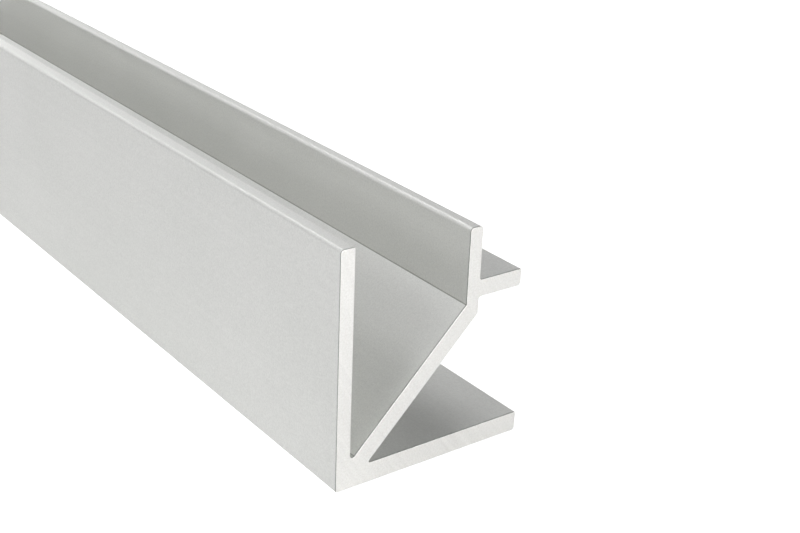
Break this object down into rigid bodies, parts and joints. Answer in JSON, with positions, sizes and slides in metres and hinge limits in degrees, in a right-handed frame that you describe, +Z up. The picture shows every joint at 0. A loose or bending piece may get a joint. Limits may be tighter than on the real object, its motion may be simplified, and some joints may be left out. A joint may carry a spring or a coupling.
{
  "type": "aluminium extrusion profile",
  "caption": "Straight length of extruded aluminium profile with a tall back wall, a wide base and a diagonal web up to a shorter front wall with an outward ledge; plain sawn ends.",
  "frame": {"origin": "centre of the bar's bounding box seen from above, at the underside of its base", "axes": "+Y along the bar, away from the end that the picture shows; +Z up from the base; +X from the tall back wall towards the ledge"},
  "size_m": [0.0356, 1, 0.04],
  "materials": {
    "aluminium": "satin, etched, with sawn ends"
  },
  "bodies": {
    "root": {"profile": "aluminium"}
  },
  "joints": []
}
